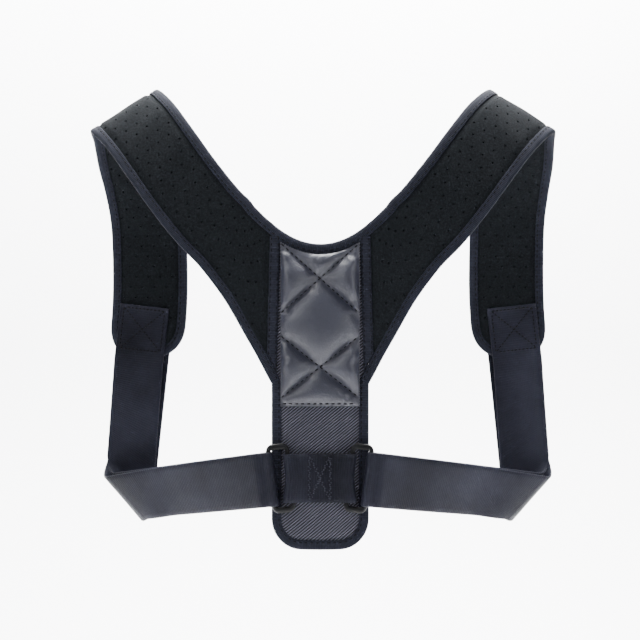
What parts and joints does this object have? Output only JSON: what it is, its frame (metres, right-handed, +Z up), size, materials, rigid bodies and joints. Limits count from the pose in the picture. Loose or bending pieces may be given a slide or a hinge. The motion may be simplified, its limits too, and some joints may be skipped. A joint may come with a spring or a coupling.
{
  "type": "posture corrector",
  "caption": "Posture corrector with padded shoulder bands, a quilted back panel, black rings and doubled webbing under the arms.",
  "frame": {"origin": "midway between the two shoulders, at the height where the padded bands rest on them", "axes": "+Z up, +Y the way the wearer faces, +X across to the wearer's right"},
  "size_m": [0.363, 0.1361, 0.3442],
  "materials": {
    "twill": "dense twill weave, matt",
    "quilted": "quilted imitation leather, soft sheen",
    "perforated": "perforated brushed fabric, matt",
    "tape": "ribbed folded tape, matt",
    "webbing": "woven webbing, slight sheen",
    "hook": "hook tape, matt",
    "plastic": "moulded black"
  },
  "bodies": {
    "root": {"spine_panel": "twill", "quilted_panel": "quilted", "arm_pad_left": "perforated", "arm_pad_right": "perforated", "seam_tape_left": "tape", "seam_tape_right": "tape", "neck_binding": "tape", "outer_binding": "tape", "keeper_webbing": "webbing", "ring_left": "plastic", "ring_right": "plastic", "strap_left": "webbing", "strap_right": "webbing", "hook_patch_left": "hook", "hook_patch_right": "hook"}
  },
  "joints": []
}
